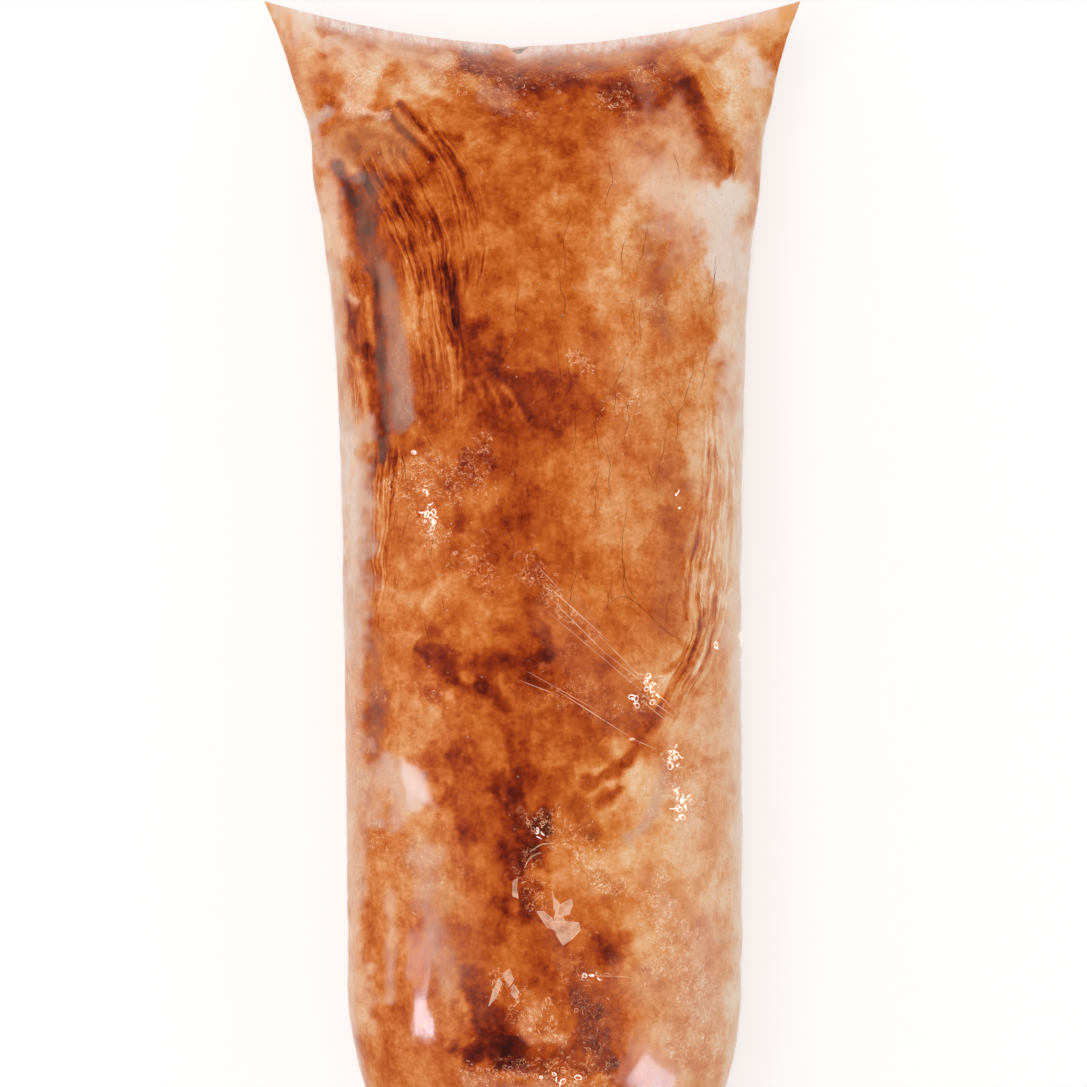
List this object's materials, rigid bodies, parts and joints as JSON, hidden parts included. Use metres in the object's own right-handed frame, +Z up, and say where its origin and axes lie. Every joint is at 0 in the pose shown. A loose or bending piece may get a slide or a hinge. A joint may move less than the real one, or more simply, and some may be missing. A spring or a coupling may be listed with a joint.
{
  "type": "chocolate banana freezer pop",
  "caption": "Frozen chocolate and banana mix in a clear plastic tube bag with a straight heat seal and a knotted tail, lying on its flat underside.",
  "frame": {"origin": "under the middle of the bounding box, on the surface that the bag lies on", "axes": "+Y along the bag towards the heat seal, +Z up from the flat underside to the shown side, +X to the right of someone who looks down with the seal at the top"},
  "size_m": [0.06, 0.166, 0.0302],
  "materials": {
    "frozen_chocolate_banana": "mottled tan and brown ice seen through clear glossy film"
  },
  "bodies": {
    "root": {"bag": "frozen_chocolate_banana"}
  },
  "joints": []
}
